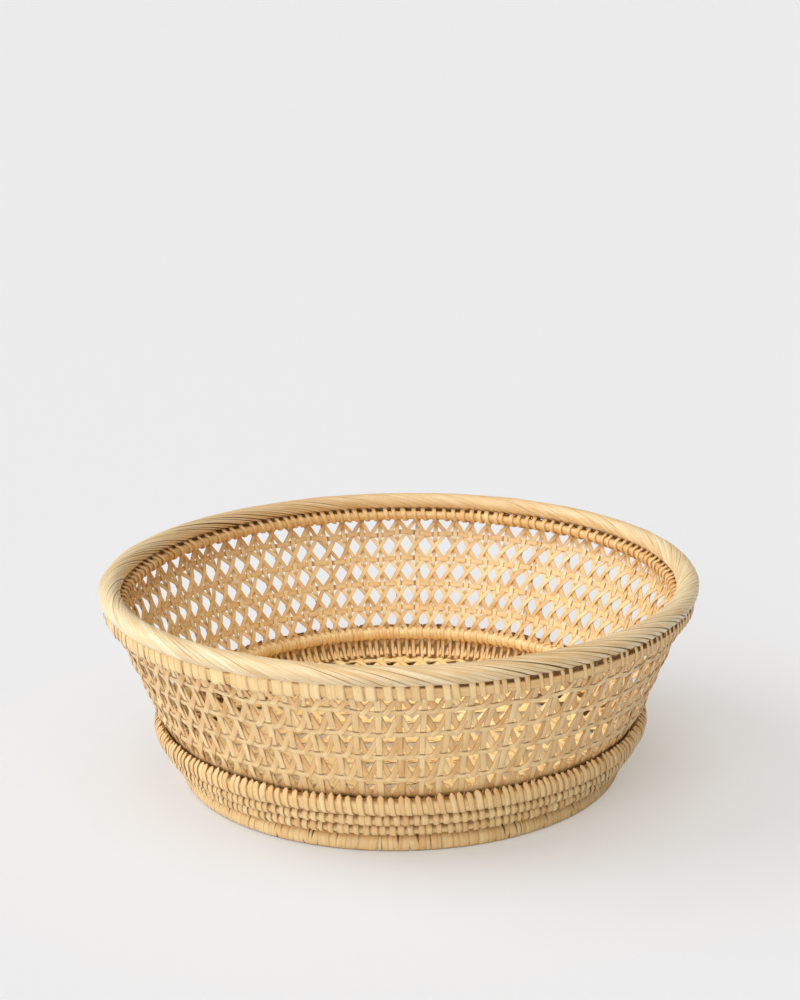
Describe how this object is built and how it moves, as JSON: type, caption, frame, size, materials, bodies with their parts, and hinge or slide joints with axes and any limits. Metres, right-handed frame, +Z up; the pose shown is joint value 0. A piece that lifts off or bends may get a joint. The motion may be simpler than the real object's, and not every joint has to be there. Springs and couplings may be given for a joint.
{
  "type": "fruit basket",
  "caption": "Round openwork cane bowl with a padded rim, flaring wall, stitched shoulder band and wrapped ring foot, for fruit or bread.",
  "frame": {"origin": "centre of the foot, on the floor", "axes": "+Z up through the bowl's mouth"},
  "size_m": [0.3496, 0.3496, 0.1207],
  "materials": {
    "rim_cane": "smooth pale cane strip, slight natural sheen",
    "wall_cane": "honey-coloured flat cane, satin",
    "slant_cane": "honey-coloured flat cane, satin",
    "lashing_cane": "narrow split cane, satin",
    "base_cane": "flat cane, matt satin",
    "core_rattan": "round rattan pole, matt"
  },
  "bodies": {
    "root": {"rim_core_hoop": "core_rattan", "rim_inner_hoop": "core_rattan", "rim_outer_hoop": "core_rattan", "shoulder_outer_hoop": "core_rattan", "shoulder_inner_hoop": "core_rattan", "foot_core_hoop": "core_rattan", "base_hoop": "core_rattan", "rim_inner_lashing": "lashing_cane", "rim_outer_lashing": "lashing_cane", "shoulder_outer_lashing": "lashing_cane", "shoulder_inner_lashing": "lashing_cane", "band_upper_coil": "lashing_cane", "band_lower_coil": "lashing_cane", "foot_wrap": "lashing_cane", "wall_stake_01": "wall_cane", "wall_stake_02": "wall_cane", "wall_stake_03": "wall_cane", "wall_stake_04": "wall_cane", "wall_stake_05": "wall_cane", "wall_stake_06": "wall_cane", "wall_stake_07": "wall_cane", "wall_stake_08": "wall_cane", "wall_stake_09": "wall_cane", "wall_stake_10": "wall_cane", "wall_stake_11": "wall_cane", "wall_stake_12": "wall_cane", "wall_stake_13": "wall_cane", "wall_stake_14": "wall_cane", "weaver_hoop_1": "wall_cane", "weaver_hoop_2": "wall_cane", "weaver_hoop_3": "wall_cane", "weaver_hoop_4": "wall_cane", "slant_left_01": "slant_cane", "slant_left_02": "slant_cane", "slant_left_03": "slant_cane", "slant_left_04": "slant_cane", "slant_left_05": "slant_cane", "slant_left_06": "slant_cane", "slant_right_01": "slant_cane", "slant_right_02": "slant_cane", "slant_right_03": "slant_cane", "slant_right_04": "slant_cane", "slant_right_05": "slant_cane", "slant_right_06": "slant_cane", "base_lengthwise_cane": "base_cane", "base_crosswise_cane": "base_cane", "base_slant_cane_left": "base_cane", "base_slant_cane_right": "base_cane", "band_lining": "base_cane", "rim_cover": "rim_cane"}
  },
  "joints": []
}
